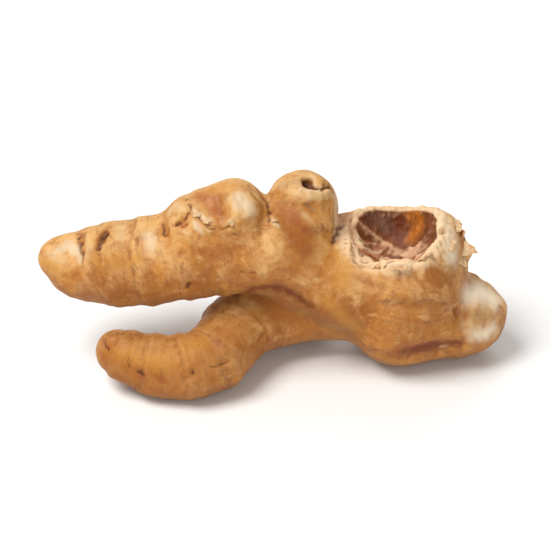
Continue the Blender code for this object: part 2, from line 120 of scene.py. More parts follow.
# Eyes, scars, bruises and rubbed patches, each a stroke: tint, how deep in mm (raised if negative),
# how crisp its edge is for each mm, how high a rim stands round it, and its points. Those of the
# front are steps across and down the front view, and a radius in mm; the others are x, y, z and
# radius, and lie at the skin's nearest point
STROKES = [
    # the tip of the upper finger, where the skin has peeled
    ("cream", 0.0, 1.2, 0.0, [(171.5, 331, 0.8), (175, 333, 1.6), (180, 335, 1.4)]),
    ("peel", 0.3, 2.5, 0.0, [
        (175.5, 330.5, 0.6), (179.5, 329, 1.2), (183, 327, 1.7), (185.5, 329.5, 1.9),
        (186.8, 333, 0.9), (188.2, 335.6, 0.4)]),
    ("dark", 0.8, 2.5, 0.0, [
        (187.6, 323.5, 0.4), (188.4, 327, 0.7), (188.9, 331, 0.6), (189.4, 334.4, 0.4)]),
    ("red", 0.15, 2.0, 0.0, [(187, 321.5, 0.8), (189.5, 322, 1.0), (191, 325, 0.6)]),
    ("cream", -0.25, 2.0, 0.0, [(191.8, 323, 0.7), (192, 328, 0.9), (191, 334, 0.5)]),
    ("gold", 0.0, 1.2, 0.0, [(170, 336, 1.5), (175, 338, 2.0)]),
    # the eye on the upper finger
    ("amber", -0.2, 1.6, 0.0, [(201.5, 319.5, 1.4), (199, 325, 1.8), (196.5, 331, 1.4)]),
    ("dark", 1.1, 2.2, 0.25, [
        (201, 321, 0.8), (199.8, 323.6, 1.2), (198.6, 326.2, 1.1), (197.4, 328.6, 0.8)]),
    ("pink", -0.8, 2.6, 0.0, [(199.4, 325.4, 0.45), (198.4, 327.4, 0.6)]),
    # rubbed and bruised places along it
    ("cream", 0.0, 1.0, 0.0, [(208, 318.5, 1.8), (208.5, 322.5, 1.9)]),
    ("red", 0.15, 3.0, 0.05, [(215.2, 324, 0.5), (216.8, 326.5, 0.6)]),
    ("red", 0.15, 3.0, 0.0, [(218.3, 323.2, 0.35), (219.2, 325.8, 0.35)]),
    ("peel", -0.05, 1.0, 0.0, [(222, 323, 1.6), (223.5, 328.5, 1.6)]),
    ("gold", 0.0, 0.8, 0.0, [(196, 333, 1.6), (206, 335, 2.0), (217, 333, 1.6)]),
    ("red", 0.05, 1.2, 0.0, [(221.5, 338, 1.2), (222.5, 340.5, 1.0)]),
    ("red", 0.0, 1.2, 0.0, [(238, 331, 0.8), (241, 333, 0.6)]),
    ("red", 0.0, 0.8, 0.0, [(246, 330, 1.2), (254, 333, 1.6), (262, 330, 1.2)]),
    ("dark", 0.3, 4.0, 0.05, [(238.8, 349.4, 0.3), (240.6, 348, 0.4), (242.2, 346.4, 0.25)]),
    ("dark", 0.2, 4.0, 0.0, [(267.2, 341, 0.2), (269.6, 340.6, 0.3)]),
    ("dark", 0.2, 4.0, 0.0, [(272.4, 341.4, 0.15), (274.6, 341.2, 0.25)]),
    ("dark", 0.2, 4.0, 0.0, [(277.2, 341.6, 0.2), (279.4, 341.4, 0.25)]),
    ("dark", 0.2, 4.0, 0.0, [(291.4, 343.6, 0.3)]),
    # the notch and the cluster of torn buds at the left of the knob
    ("dark", 0.5, 4.0, 0.0, [
        (228.9, 317, 0.2), (229, 320, 0.25), (229.8, 322.4, 0.35), (231.2, 322.2, 0.3),
        (231.9, 319.5, 0.2)]),
    ("ash", 0.1, 3.0, 0.0, [(230.4, 317, 0.5), (230.4, 320.5, 0.6)]),
    ("cream", -0.45, 2.2, 0.0, [(232.5, 311, 1.2), (236, 308.5, 1.5), (239, 310, 1.2)]),
    ("dark", 0.8, 4.0, 0.0, [
        (235.2, 317.3, 0.35), (237.4, 316.4, 0.5), (239.8, 314, 0.35), (241.3, 311.5, 0.25)]),
    ("scar", 0.4, 3.0, 0.0, [(238.6, 318, 0.7), (240.3, 317, 0.6)]),
    ("dark", 0.5, 4.0, 0.0, [(240.8, 304.4, 0.25), (241.8, 307.2, 0.35), (242.6, 309.4, 0.3)]),
    ("cream", -0.3, 3.0, 0.0, [(238.8, 320.5, 0.6), (241, 322, 0.5)]),
    ("peel", -0.55, 3.0, 0.0, [(244.6, 315.8, 0.5), (246.2, 318.6, 0.8), (247.8, 321.3, 0.6)]),
    ("dark", 0.5, 4.0, 0.0, [(246, 313.8, 0.2), (249, 315.9, 0.3), (252.8, 317, 0.25)]),
    ("dark", 0.5, 4.0, 0.0, [(250.5, 317.8, 0.2), (252.6, 319.3, 0.3), (254.6, 319, 0.2)]),
    ("cream", -0.3, 3.0, 0.0, [(249.3, 318.6, 0.5), (252, 321, 0.5)]),
    # the sunken scar on the knob, with its torn lip
    ("amber", 0.0, 0.9, 0.0, [(247, 302.5, 2.0), (253, 305, 2.6), (256, 312, 2.2)]),
    ("scar", 0.35, 1.1, 0.0, [
        (246.5, 303, 1.2), (251.5, 305, 1.6), (255, 309.5, 1.5), (256.8, 315, 0.9)]),
    ("red", 0.4, 2.0, 0.0, [(256.2, 303.5, 0.5), (257, 308.5, 0.7), (257.8, 314, 0.5)]),
    ("peel", -0.4, 3.0, 0.0, [
        (243.8, 309.5, 0.5), (246.2, 312.5, 0.8), (249.5, 314.2, 0.8), (253.2, 315.8, 0.5)]),
    ("red", 0.6, 4.0, 0.0, [(256.6, 318.4, 0.5), (258.8, 319, 0.6), (260.2, 318, 0.35)]),
    ("dark", 0.5, 4.0, 0.0, [(260.8, 318, 0.25), (262.4, 317.4, 0.35)]),
    ("cream", -0.5, 3.0, 0.0, [
        (260, 316.6, 0.4), (262.5, 314.9, 0.5), (265.2, 313, 0.5), (266, 311.8, 0.4)]),
    ("dark", 0.25, 4.0, 0.0, [(262.8, 321.8, 0.2), (264.8, 322.5, 0.25), (266.8, 321.9, 0.2)]),
    # the pale bud beside it
    ("cream", 0.0, 0.8, 0.0, [(266.5, 304.5, 3.0), (271.5, 309.5, 3.0)]),
    ("peel", -0.35, 1.5, 0.0, [(265.5, 303.5, 1.6), (267.5, 307, 2.2), (271.5, 309, 2.0)]),
    ("ash", 0.25, 2.0, 0.05, [(263.9, 302.4, 0.7), (265, 304.6, 0.8)]),
    ("peel", -0.35, 3.0, 0.0, [(270.2, 312.4, 0.7), (271.6, 312.2, 0.5)]),
    ("red", 0.0, 1.2, 0.0, [(271.5, 299.3, 1.0), (274, 300.5, 0.7)]),
    ("gold", 0.0, 0.7, 0.0, [(253, 300, 1.6), (260, 298, 1.8), (267, 299, 1.6)]),
    # the crease between the knob and the stem lobe, painted dark as the shade in it
    ("dark", 1.0, 3.0, 0.0, [
        (276.6, 301.4, 0.3), (279.4, 303.4, 0.5), (281.2, 307, 0.6), (281.9, 312, 0.45),
        (281.6, 315.2, 0.25)]),
    ("peel", -0.7, 3.0, 0.0, [(282.6, 314.9, 0.45), (284, 316.2, 0.6), (285.4, 317.5, 0.35)]),
    # the stem lobe: the hole where the stem stood, its lips and the brown front
    ("red", 0.3, 2.5, 0.0, [(298.2, 298.5, 0.5), (301.5, 296.5, 0.6)]),
    # the hole's dark, which runs on to the right as a painted shadow
    ("dark", 1.4, 3.0, 0.1, [
        (298.5, 295.4, 0.5), (300.2, 298.2, 1.2), (303.5, 299.6, 0.9), (307.5, 299.6, 0.7),
        (311.2, 298.2, 0.5)]),
    ("gold", -0.6, 2.5, 0.0, [(304.5, 294.2, 0.7), (307.6, 295.8, 0.7), (310.2, 296.9, 0.5)]),
    ("peel", -0.7, 2.2, 0.0, [(302.4, 294.4, 0.4), (303.6, 297.2, 0.5), (306.2, 298.8, 0.4)]),
    # painted shadow to the right of the hole
    ("dark", 1.0, 2.5, 0.0, [(307.6, 297.2, 0.4), (311.4, 299, 0.6), (313, 301.4, 0.4)]),
    ("peel", -0.6, 2.5, 0.0, [(296.5, 299.5, 0.4), (300.5, 301.6, 0.6), (305.5, 301.6, 0.5)]),
    ("cream", -0.4, 1.6, 0.0, [
        (291.5, 300.4, 0.9), (295.5, 302, 1.3), (300, 304, 1.1), (305, 303.4, 1.3),
        (310, 301.8, 1.2), (313, 303.4, 0.7)]),
    ("ash", 0.35, 2.5, 0.0, [(299, 306.8, 0.5), (301.8, 308.9, 0.7), (305, 310, 0.5)]),
    ("cream", -0.1, 1.5, 0.0, [(297.5, 312.5, 0.8), (300.5, 314.2, 0.9)]),
    ("red", 0.0, 0.9, 0.0, [(290.5, 320, 2.0), (296, 326, 2.4), (300, 331, 2.0)]),
    ("amber", 0.0, 0.6, 0.0, [(288, 312, 2.6), (294, 315, 3.6), (298, 325, 4.0), (300, 334, 3.0)]),
    ("red", 0.0, 0.7, 0.0, [(289, 311, 2.2), (293.5, 315, 3.0), (298, 320, 2.6)]),
    ("ash", 0.0, 0.8, 0.0, [(289, 298, 1.8), (294, 296, 2.2), (299, 294.5, 1.8)]),
    ("dark", 0.3, 3.5, 0.0, [
        (307.6, 317.5, 0.2), (308.6, 320, 0.25), (311.3, 321, 0.25), (314.5, 319.3, 0.2)]),
    ("cream", 0.0, 1.2, 0.0, [(283.5, 298.6, 1.0), (287.5, 297, 1.3)]),
    ("dark", 1.0, 2.5, 0.0, [
        (317.6, 317, 0.4), (316, 320.5, 0.6), (313.6, 323.8, 0.7), (312.6, 326, 0.4)]),
    # the main lobe: golden side, brown patches and the scar near the table
    ("gold", 0.0, 0.7, 0.0, [(314, 330, 2.2), (317.5, 338, 3.0), (316, 346, 2.4)]),
    ("red", 0.0, 1.0, 0.0, [(324, 342, 0.9), (330, 346, 1.3), (336, 349, 0.9)]),
    ("red", 0.0, 0.9, 0.0, [(359, 338.5, 0.8), (361.5, 342, 0.8)]),
    ("gold", 0.0, 0.6, 0.0, [(309, 355, 1.8), (316, 361, 2.4), (323, 368, 2.0)]),
    ("scar", 0.3, 1.6, 0.0, [
        (338.5, 380.6, 0.8), (346, 378.6, 1.3), (354, 377, 1.9), (362, 376.6, 1.8),
        (369, 376, 1.4), (375.5, 375.2, 1.0)]),
    ("soil", 0.0, 0.9, 0.0, [
        (341, 381.4, 1.2), (350, 379.4, 2.1), (358, 377.4, 2.8), (366, 376.8, 2.6),
        (374, 375.4, 1.8)]),
    ("pink", -0.3, 2.4, 0.0, [(365, 377.8, 0.4), (369, 376.4, 0.5)]),
    ("red", 0.1, 2.0, 0.0, [(352, 378.8, 0.7), (358, 377, 1.1), (363, 379, 0.6)]),
    ("red", -0.6, 3.0, 0.0, [(335, 382.2, 0.5)]),
    ("red", -0.6, 3.0, 0.0, [(338.6, 383.6, 0.5)]),
    # the break: its orange right wall, its grey left wall, pinkish brown flesh greyed as painted
    # shade, and the fibrous pocket at the left
    ("orange", 0.0, 1.0, 0.0, [
        (349, 310, 1.4), (352.5, 312, 2.8), (354.5, 318, 2.8), (350.5, 325, 1.8)]),
    ("soil", 0.0, 1.2, 0.0, [
        (347.5, 309.5, 0.9), (345.5, 315, 1.1), (343.5, 321, 1.1), (344.5, 325, 0.7)]),
    ("fibre", 0.0, 2.0, 0.0, [(360.6, 314, 0.8), (360, 319, 0.8)]),
    # painted shade: the left wall greyed over its own pinkish brown
    ("plum", 0.0, 1.0, 0.0, [(330, 311, 2.2), (337, 315, 3.0), (340, 319, 2.2)]),
    ("cream", -0.2, 2.0, 0.0, [(326.5, 311.5, 0.3), (331, 315.3, 0.5), (335.4, 320, 0.35)]),
    ("fibre", 2.0, 1.4, 0.0, [
        (321.6, 314.5, 0.9), (323, 320, 1.3), (325, 325.4, 1.5), (329.4, 330.4, 1.3),
        (334, 332.4, 0.9)]),
    ("fibre", 0.4, 1.6, 0.0, [
        (328, 326, 1.4), (332, 328, 1.6), (337, 328.5, 1.4), (341, 325.5, 0.9)]),
    # painted shadow: a thin dark line inside the torn lip
    ("dark", 0.4, 3.0, 0.0, [(321.8, 321.5, 0.3), (323.6, 326.8, 0.35), (327.6, 331.4, 0.3)]),
    ("pink", -1.2, 1.8, 0.0, [
        (324.2, 315.5, 0.4), (328, 319.6, 0.7), (332, 322.8, 0.9), (336.4, 325.8, 0.9),
        (341, 328.4, 0.8)]),
    ("pink", -0.6, 1.6, 0.0, [
        (341, 329.4, 0.8), (346, 331, 1.0), (351, 330.4, 1.0), (355, 327.5, 0.9),
        (358, 323.6, 0.5)]),
    ("pink", -0.9, 1.4, 0.0, [
        (340, 331.6, 0.8), (344, 332.4, 1.2), (349, 332.8, 1.3), (353.5, 331.4, 1.2),
        (357, 328, 0.9)]),
    ("pink", -0.6, 1.8, 0.0, [
        (335.5, 334.4, 0.8), (342, 335.4, 1.1), (349, 335.6, 1.2), (355, 333.4, 1.1),
        (359.5, 329.5, 0.8)]),
    ("fibre", 0.3, 1.2, 0.0, [
        (317.4, 315, 0.9), (319, 312.4, 1.2), (322, 310.6, 1.0), (320.6, 316.4, 0.8)]),
    ("plum", 0.0, 1.2, 0.0, [(318, 311.5, 0.9), (321.5, 311.2, 0.8)]),
    # the torn lip in front of it, its cracks and the shoulder to the right
    ("pink", -0.5, 2.5, 0.0, [
        (319.8, 320.5, 0.3), (320.8, 326.5, 0.45), (325, 332.8, 0.5), (331.8, 336.8, 0.5)]),
    ("cream", -0.3, 1.8, 0.0, [(317, 323, 0.9), (316.5, 329, 1.0)]),
    ("red", 0.5, 2.5, 0.0, [(318.6, 324.5, 0.4), (319.2, 331.5, 0.5)]),
    ("cream", -0.5, 2.5, 0.0, [(337.3, 335.2, 0.5), (340.5, 332.8, 0.6), (345, 333.8, 0.5)]),
    ("cream", -0.45, 2.5, 0.0, [(340, 338.8, 0.6), (345.5, 338, 0.6), (350.5, 338.3, 0.5)]),
    # painted shadows between the raised cream folds of the lip
    ("dark", 0.35, 4.0, 0.0, [(336.8, 338.6, 0.2), (339.6, 336.7, 0.25), (343.4, 336.2, 0.2)]),
    ("red", 0.9, 2.2, 0.0, [
        (362.6, 315.5, 0.4), (361.2, 321, 0.6), (358.8, 326, 0.7), (357.6, 328.8, 0.4)]),
    ("red", 0.6, 2.5, 0.0, [(351.3, 332.6, 0.3), (353.6, 332.3, 0.5), (356, 331, 0.3)]),
    ("peel", -0.3, 3.0, 0.0, [(323, 312, 0.6)]),
    ("bare", 0.0, 0.6, 0.0, [(365, 313, 1.4), (367, 320, 2.2), (370, 326, 2.4), (371, 333, 1.8)]),
    # the stub at the right
    ("bare", 0.0, 0.6, 0.0, [(379, 352, 2.4), (386, 350, 3.6), (391, 354, 2.6)]),
    ("cream", 0.0, 0.6, 0.0, [(378, 366, 1.8), (385, 371, 2.6), (392, 370, 1.8)]),
    ("bare", 0.0, 0.6, 0.0, [(382, 371.5, 0.9), (387.5, 371, 1.3), (391, 368, 0.9)]),
    ("ash", 0.0, 1.0, 0.0, [(381, 362, 1.2), (387, 363, 1.4)]),
    ("red", 0.3, 2.0, 0.05, [(372.2, 358.5, 0.8), (374, 361, 0.9)]),
    ("red", 0.2, 1.6, 0.0, [(394, 356.6, 0.9), (394.6, 359.6, 1.0)]),
    ("scar", 0.3, 3.0, 0.1, [(394.6, 357, 0.6), (396, 358.6, 0.8)]),
    ("red", 0.05, 2.5, 0.0, [(396, 364.5, 0.5), (396, 367.2, 0.6), (394.6, 370.4, 0.5)]),
    # the lower finger
    ("dark", 0.6, 4.0, 0.0, [(200.8, 374.2, 0.3), (200.9, 376.5, 0.45), (201.6, 378.6, 0.25)]),
    ("red", 0.0, 1.0, 0.0, [(198.6, 383, 0.9), (199.4, 375, 1.1), (203, 371, 1.1)]),
    # painted shade: the lower finger darker and more orange all over, and more so along its top
    # edge, as if shaded from above
    ("amber", 0.0, 0.4, 0.0, [
        (203, 382, 6.5), (216, 388, 7.0), (232, 388, 7.5), (246, 382, 7.5), (262, 370, 6.0)]),
    ("amber", 0.0, 0.6, 0.0, [
        (203, 372, 1.6), (214, 373, 2.2), (228, 373.5, 2.4), (240, 373, 2.2), (252, 366, 2.0)]),
    # painted highlight: a golden band along the middle of its top
    ("gold", 0.0, 0.7, 0.0, [
        (205, 379, 1.6), (214, 381, 2.2), (226, 383.5, 2.8), (238, 381, 2.8), (249, 374, 2.4)]),
    # painted shade along its top edge at the gap, under the upper finger
    ("soil", 0.0, 0.6, 0.0, [(201.5, 370.5, 0.7), (212, 371, 1.0), (222, 371.5, 0.8)]),
    ("dark", 0.4, 4.0, 0.0, [(212.4, 382.2, 0.2), (211.8, 384.6, 0.3), (212.9, 387.4, 0.3)]),
    ("dark", 0.4, 3.5, 0.05, [(216.2, 389.2, 0.35), (218.2, 390.3, 0.5), (219.4, 391.3, 0.3)]),
    ("red", 0.05, 1.8, 0.0, [(215, 391.3, 0.7), (219.5, 392.6, 0.8)]),
    ("red", 0.15, 2.5, 0.0, [(225, 391.5, 0.5), (228, 393.5, 0.8), (231, 395, 0.6)]),
    ("dark", 0.35, 4.0, 0.0, [(243.2, 388.8, 0.3), (243.6, 390.4, 0.4)]),
    ("red", 0.1, 2.5, 0.0, [(241.5, 392.4, 0.5), (246, 390.6, 0.4)]),
    ("dark", 0.3, 4.0, 0.0, [(252.5, 386.6, 0.25), (255.4, 387.2, 0.3)]),
    ("dark", 0.3, 4.0, 0.0, [(257, 385.8, 0.2), (260.5, 385, 0.3), (262.8, 384.2, 0.2)]),
    ("red", 0.05, 2.0, 0.0, [(256.4, 374, 0.5)]),
    ("red", 0.05, 2.0, 0.0, [(261.4, 372.6, 0.6)]),
    # the fold where it leaves the root: painted shade in the crease under the upper finger, with
    # painted brown shading below it and along the lower finger's top edge
    ("soil", 0.25, 1.2, 0.0, [
        (265, 352.4, 1.0), (274, 348.6, 1.6), (284, 348.2, 2.0), (293, 351.4, 1.8),
        (301, 357.4, 1.2)]),
    ("amber", 0.0, 0.8, 0.0, [(270, 362, 1.6), (284, 359, 2.0), (298, 366, 1.6)]),
    ("red", 0.0, 1.0, 0.0, [(236, 371, 0.6), (246, 367.5, 0.9), (256, 361, 0.9), (262, 356, 0.8)]),
    # the back, the underside and the ends
    ("red", 0.3, 0.9, 0.0, [
        (48.2, -10.6, 7.0, 0.3), (49.4, -10.2, 13.0, 0.4), (50.6, -6.6, 19.0, 0.3)]),
    ("dark", 0.9, 3.5, 0.15, [(-44.0, 9.8, 31.8, 0.5), (-45.2, 9.6, 30.2, 0.7)]),
    ("scar", 0.3, 2.0, 0.15, [(6.6, 19.4, 44.8, 1.6), (8.2, 19.4, 43.2, 1.9)]),
    ("peel", -0.3, 3.0, 0.0, [(5.6, 19.0, 46.0, 0.5), (8.4, 19.2, 46.2, 0.5)]),
    ("dark", 0.7, 3.0, 0.15, [(28.6, 16.4, 22.6, 0.6), (30.4, 16.8, 21.4, 0.9)]),
    ("cream", 0.0, 1.5, 0.0, [(44.4, 22.6, 18.0, 1.6)]),
    ("cream", 0.0, 1.5, 0.0, [(-33.0, 15.4, 31.0, 1.6)]),
    ("scar", 0.2, 2.0, 0.1, [(8.0, 22.4, 8.6, 2.2)]),
    ("red", 0.0, 0.8, 0.0, [(-20.0, 11.0, 30.0, 2.0), (-12.0, 11.5, 33.0, 1.4)]),
    ("cream", 0.0, 0.8, 0.0, [(-26.0, 10.0, 36.0, 2.4), (-22.0, 10.0, 40.0, 2.0)]),
    ("gold", 0.0, 0.7, 0.0, [(16.0, 14.0, 20.0, 2.6), (22.0, 16.0, 28.0, 2.0)]),
    ("red", 0.1, 1.5, 0.0, [(36.0, 17.0, 14.0, 1.2), (40.0, 16.0, 12.0, 0.9)]),
    ("dark", 0.4, 3.5, 0.05, [(-30.0, 9.8, 25.4, 0.4), (-28.6, 10.0, 24.8, 0.5)]),
    ("ash", 0.2, 2.0, 0.0, [(-2.0, 12.0, 36.0, 0.9), (0.0, 12.4, 38.0, 0.7)]),
]

# Curls of papery skin, torn and still attached: where the root of each is, with its width, which
# way it points (x, y, z), its length in mm, how far it lifts off in degrees and how wide its tip
# is for a root of 1
PAPER_CURLS = [
    # the shoulder at the right, like layered bark
    ((376.6, 328.5, 5.2), (1.0, -0.3, 0.1), 3.6, 36, 0.12),
    ((376.2, 322.5, 2.6), (1.0, -0.3, 0.9), 2.4, 30, 0.25),
    ((375.6, 334.0, 4.0), (0.8, -0.4, -0.8), 2.6, 16, 0.35),
    ((372.5, 317.0, 5.0), (0.9, 0.1, 0.3), 2.2, 12, 0.7),
    ((369.5, 326.5, 4.2), (1.0, -0.4, -0.3), 2.0, 8, 0.6),
    # round the front of the break
    ((323.0, 329.5, 4.6), (-0.6, -0.6, 0.3), 1.9, 20, 0.8),
    ((333.5, 336.2, 5.4), (-0.2, -0.9, -0.4), 1.9, 12, 0.75),
    ((345.5, 336.4, 6.0), (0.1, -1.0, -0.5), 2.0, 12, 0.8),
    ((357.0, 332.4, 4.6), (0.6, -0.8, -0.5), 1.8, 14, 0.7),
    ((364.0, 320.0, 4.0), (1.0, -0.2, -0.3), 1.6, 12, 0.75),
    # behind it, which the photograph hides
    ((41.0, 16.5, 36.5, 5.0), (0.5, 0.4, -0.8), 2.2, 10, 0.5),
    # the torn skin of the knob and the crease beside it
    ((246.0, 311.6, 2.6), (0.2, -0.7, -0.7), 1.3, 16, 0.5),
    ((250.8, 314.6, 2.8), (0.4, -0.7, -0.6), 1.2, 18, 0.6),
    ((262.6, 315.0, 2.0), (-0.4, -0.7, -0.5), 1.3, 16, 0.5),
    ((283.2, 314.6, 1.8), (0.6, -0.5, -0.7), 1.7, 22, 0.4),
]
# Dry brown stumps of the scale leaves, which lie along the rings and point to the tip
SCALE_LEAVES = [
    ((-23.4, 9.6, 36.0, 7.0), (-1.0, 0.1, 0.0), 1.8, 6, 0.8),
    ((-23.0, 4.0, 22.4, 6.0), (-1.0, 0.0, -0.1), 1.5, 5, 0.85),
    ((-42.4, 9.0, 27.0, 6.5), (-1.0, 0.0, 0.0), 1.7, 6, 0.8),
    ((-12.6, 9.0, 26.0, 6.0), (-1.0, 0.1, 0.0), 1.5, 6, 0.7),
    ((-31.0, -6.5, 3.5, 4.5), (-1.0, 0.0, 0.3), 1.4, 5, 0.8),
    ((34.0, 18.0, 22.0, 7.5), (0.1, 0.2, 1.0), 1.8, 6, 0.8),
    ((49.0, 9.0, 20.0, 6.0), (1.0, 0.2, 0.0), 1.6, 6, 0.75),
    ((8.0, 20.0, 34.0, 6.5), (0.0, 0.3, 1.0), 1.6, 6, 0.8),
    ((20.0, 16.0, 10.0, 6.0), (-1.0, 0.2, 0.0), 1.5, 5, 0.8),
]
# How deep a scrap's root is sunk into the skin, and how far from there it comes free, in mm
SCRAP_SUNK = 0.18
SCRAP_HINGE = 1.4
# Stumps of the thin roots, on the sides that lay in the soil: a place, a radius and a length
ROOT_STUMPS = [
    ((-33.0, 4.0, 19.0, 0.75), 1.8), ((-18.0, 5.0, 22.0, 0.95), 2.4),
    ((-38.0, 8.0, 22.0, 0.6), 1.4), ((24.0, 14.0, 5.0, 0.9), 1.6),
    ((36.0, 15.0, 6.0, 1.05), 2.2), ((30.0, 17.0, 14.0, 0.7), 1.5),
    ((-4.0, 9.0, 4.5, 0.8), 1.6), ((52.0, 8.0, 6.0, 0.8), 1.6),
]
TINTS = ("cream", "peel", "bare", "gold", "amber", "red", "scar", "soil", "dark", "ash", "pink",
         "orange", "plum", "fibre")
TORN_ROUGHNESS = 0.22
# The narrowest stroke that the skin's mesh can hold, as a radius in mm
NARROWEST = 0.38


def linear(hex_colour):
    """An sRGB hex colour as the linear values that Blender works in."""
    parts = [(hex_colour >> shift & 255) / 255 for shift in (16, 8, 0)]
    return tuple(p / 12.92 if p <= 0.04045 else ((p + 0.055) / 1.055) ** 2.4 for p in parts)


class GingerSkinSettings(bpy.types.PropertyGroup):
    voxel: bpy.props.FloatProperty(
        name="Mesh size", description="Length of the skin mesh's edges", default=0.46 * MM,
        unit="LENGTH")
    ring_height: bpy.props.FloatProperty(
        name="Ring height", description="How far the leaf scars stand out", default=0.07 * MM,
        unit="LENGTH")
    wrinkle: bpy.props.FloatProperty(
        name="Wrinkle depth", description="Depth of the fine wrinkles round each lobe",
        default=0.045 * MM, unit="LENGTH")
    tear: bpy.props.FloatProperty(
        name="Tear roughness", description="How rough the torn flesh of the break is",
        default=0.45 * MM, unit="LENGTH")
    tan: bpy.props.FloatVectorProperty(
        name="Dry skin", description="Main colour of the corky skin", subtype="COLOR",
        default=linear(0xC38338))
    brown: bpy.props.FloatVectorProperty(
        name="Brown mottling", description="Darker cork between the rings", subtype="COLOR",
        default=linear(0x9B5C1C))
    paper: bpy.props.FloatProperty(
        name="Paper thickness", description="Thickness of the loose papery skin",
        default=0.24 * MM, unit="LENGTH")
    pale: bpy.props.FloatVectorProperty(
        name="Papery skin", description="Pale colour of the loose papery skin", subtype="COLOR",
        default=linear(0xDDBE94))
    loose: bpy.props.FloatVectorProperty(
        name="Loose cork", description="Darker colour of loose skin and scale leaves",
        subtype="COLOR", default=linear(0xB98350))
    leaf: bpy.props.FloatVectorProperty(
        name="Scale leaf", description="Brown of scale leaves and root stumps", subtype="COLOR",
        default=linear(0x8A5A34))
    soil: bpy.props.FloatVectorProperty(
        name="Broken root", description="Darkest brown of the root stumps", subtype="COLOR",
        default=linear(0x5A3820))


class GingerStageSettings(bpy.types.PropertyGroup):
    elevation: bpy.props.FloatProperty(
        name="Camera elevation", description="Angle of view above the table",
        default=math.radians(35), subtype="ANGLE")
    distance: bpy.props.FloatProperty(
        name="Camera distance", description="From the middle of the root", default=0.6,
        unit="LENGTH")
    seen_width: bpy.props.FloatProperty(
        name="Seen width", description="Width of the view at the root", default=0.146,
        unit="LENGTH")
    key_power: bpy.props.FloatProperty(
        name="Main light", description="Power of the large soft light", default=5.9, unit="POWER")
    floor_colour: bpy.props.FloatVectorProperty(
        name="Floor", description="Colour of the matt floor", subtype="COLOR",
        default=linear(0xF1F0EE))


def add_node(tree, kind, inputs=None, **settings):
    """Adds a node with its settings. An input is a value or the output socket that feeds it."""
    made = tree.nodes.new(kind)
    for name, value in settings.items():
        setattr(made, name, value)
    for name, value in (inputs or {}).items():
        if isinstance(value, bpy.types.NodeSocket):
            tree.links.new(value, made.inputs[name])
        else:
            made.inputs[name].default_value = value
    return made


def new_material(name):
    """A new material, with its node tree and the sockets of its surface."""
    material = bpy.data.materials.new(name)
    material.use_nodes = True
    tree = material.node_tree
    return material, tree, tree.nodes["Principled BSDF"].inputs


def select_only(piece):
    """Selects the piece and makes it the active one."""
    bpy.ops.object.select_all(action="DESELECT")
    piece.select_set(True)
    bpy.context.view_layer.objects.active = piece


def apply_modifiers(piece):
    """Applies the piece's modifiers in order."""
    select_only(piece)
    for modifier in list(piece.modifiers):
        bpy.ops.object.modifier_apply(modifier=modifier.name)


def positions_of(piece):
    """Vertex positions in millimetres."""
    flat = np.empty(len(piece.data.vertices) * 3)
    piece.data.vertices.foreach_get("co", flat)
    return flat.reshape(-1, 3) / MM


def normals_of(piece):
    """The direction that each vertex faces."""
    flat = np.empty(len(piece.data.vertices) * 3)
    piece.data.vertex_normals.foreach_get("vector", flat)
    return flat.reshape(-1, 3)


def move_vertices(piece, points):
    """Moves each vertex to its new place, in millimetres."""
    piece.data.vertices.foreach_set("co", (points * MM).ravel())
    piece.data.update()


def store(piece, name, values):
    """Keeps one number for each vertex, for the material to read."""
    kept = piece.data.attributes.new(name, "FLOAT", "POINT")
    kept.data.foreach_set("value", np.asarray(values, np.float32))


def unevenness(points, wavelength):
    """Smooth noise between about -1 and 1."""
    return np.array([noise.noise(Vector(point)) for point in points / wavelength])


def smooth_step(low, high, values):
    """0 at the first limit and beyond, 1 at the second, and smooth between them."""
    share = np.clip((values - low) / (high - low), 0, 1)
    return share * share * (3 - 2 * share)


def smooth_path(stations):
    """Catmull-Rom points through the stations, with the radius carried along."""
    points = np.array(stations, float)
    points[:, :3] -= MIDDLE
    ends = np.vstack([2 * points[0] - points[1], points, 2 * points[-1] - points[-2]])
    made = []
    for a, b, c, d in zip(ends, ends[1:], ends[2:], ends[3:]):
        count = max(1, math.ceil(np.linalg.norm(c[:3] - b[:3]) / STEP_ALONG_LOBE))
        for t in np.arange(count) / count:
            made.append(0.5 * (2 * b + (c - a) * t + (2 * a - 5 * b + 4 * c - d) * t**2
                               + (3 * b - a - 3 * c + d) * t**3))
    made.append(points[-1])
    return np.array(made)


def lobe_distance(points, path):
    """Distance from each point to the lobe's skin, and how far along the lobe it lies."""
    best = np.full(len(points), np.inf)
    along = np.zeros(len(points))
    walked = 0.0
    last = len(path) - 2
    for index, (a, b) in enumerate(zip(path, path[1:])):
        span = b[:3] - a[:3]
        length = np.linalg.norm(span)
        reach = (points - a[:3]) @ span / length**2
        share = np.clip(reach, 0, 1)
        gap = np.linalg.norm(points - a[:3] - share[:, None] * span, axis=1)
        gap -= a[3] + share * (b[3] - a[3])
        nearer = gap < best
        place = np.clip(reach, -np.inf if index == 0 else 0, np.inf if index == last else 1)
        best[nearer] = gap[nearer]
        along[nearer] = walked + place[nearer] * length
        walked += length
    return best, along


def bite_distance(points, bite):
    """Rough distance of each point outside a bite of the break, in millimetres."""
    centre, radii = bite
    return (np.linalg.norm((points + MIDDLE - centre) / radii, axis=1) - 1) * min(radii)


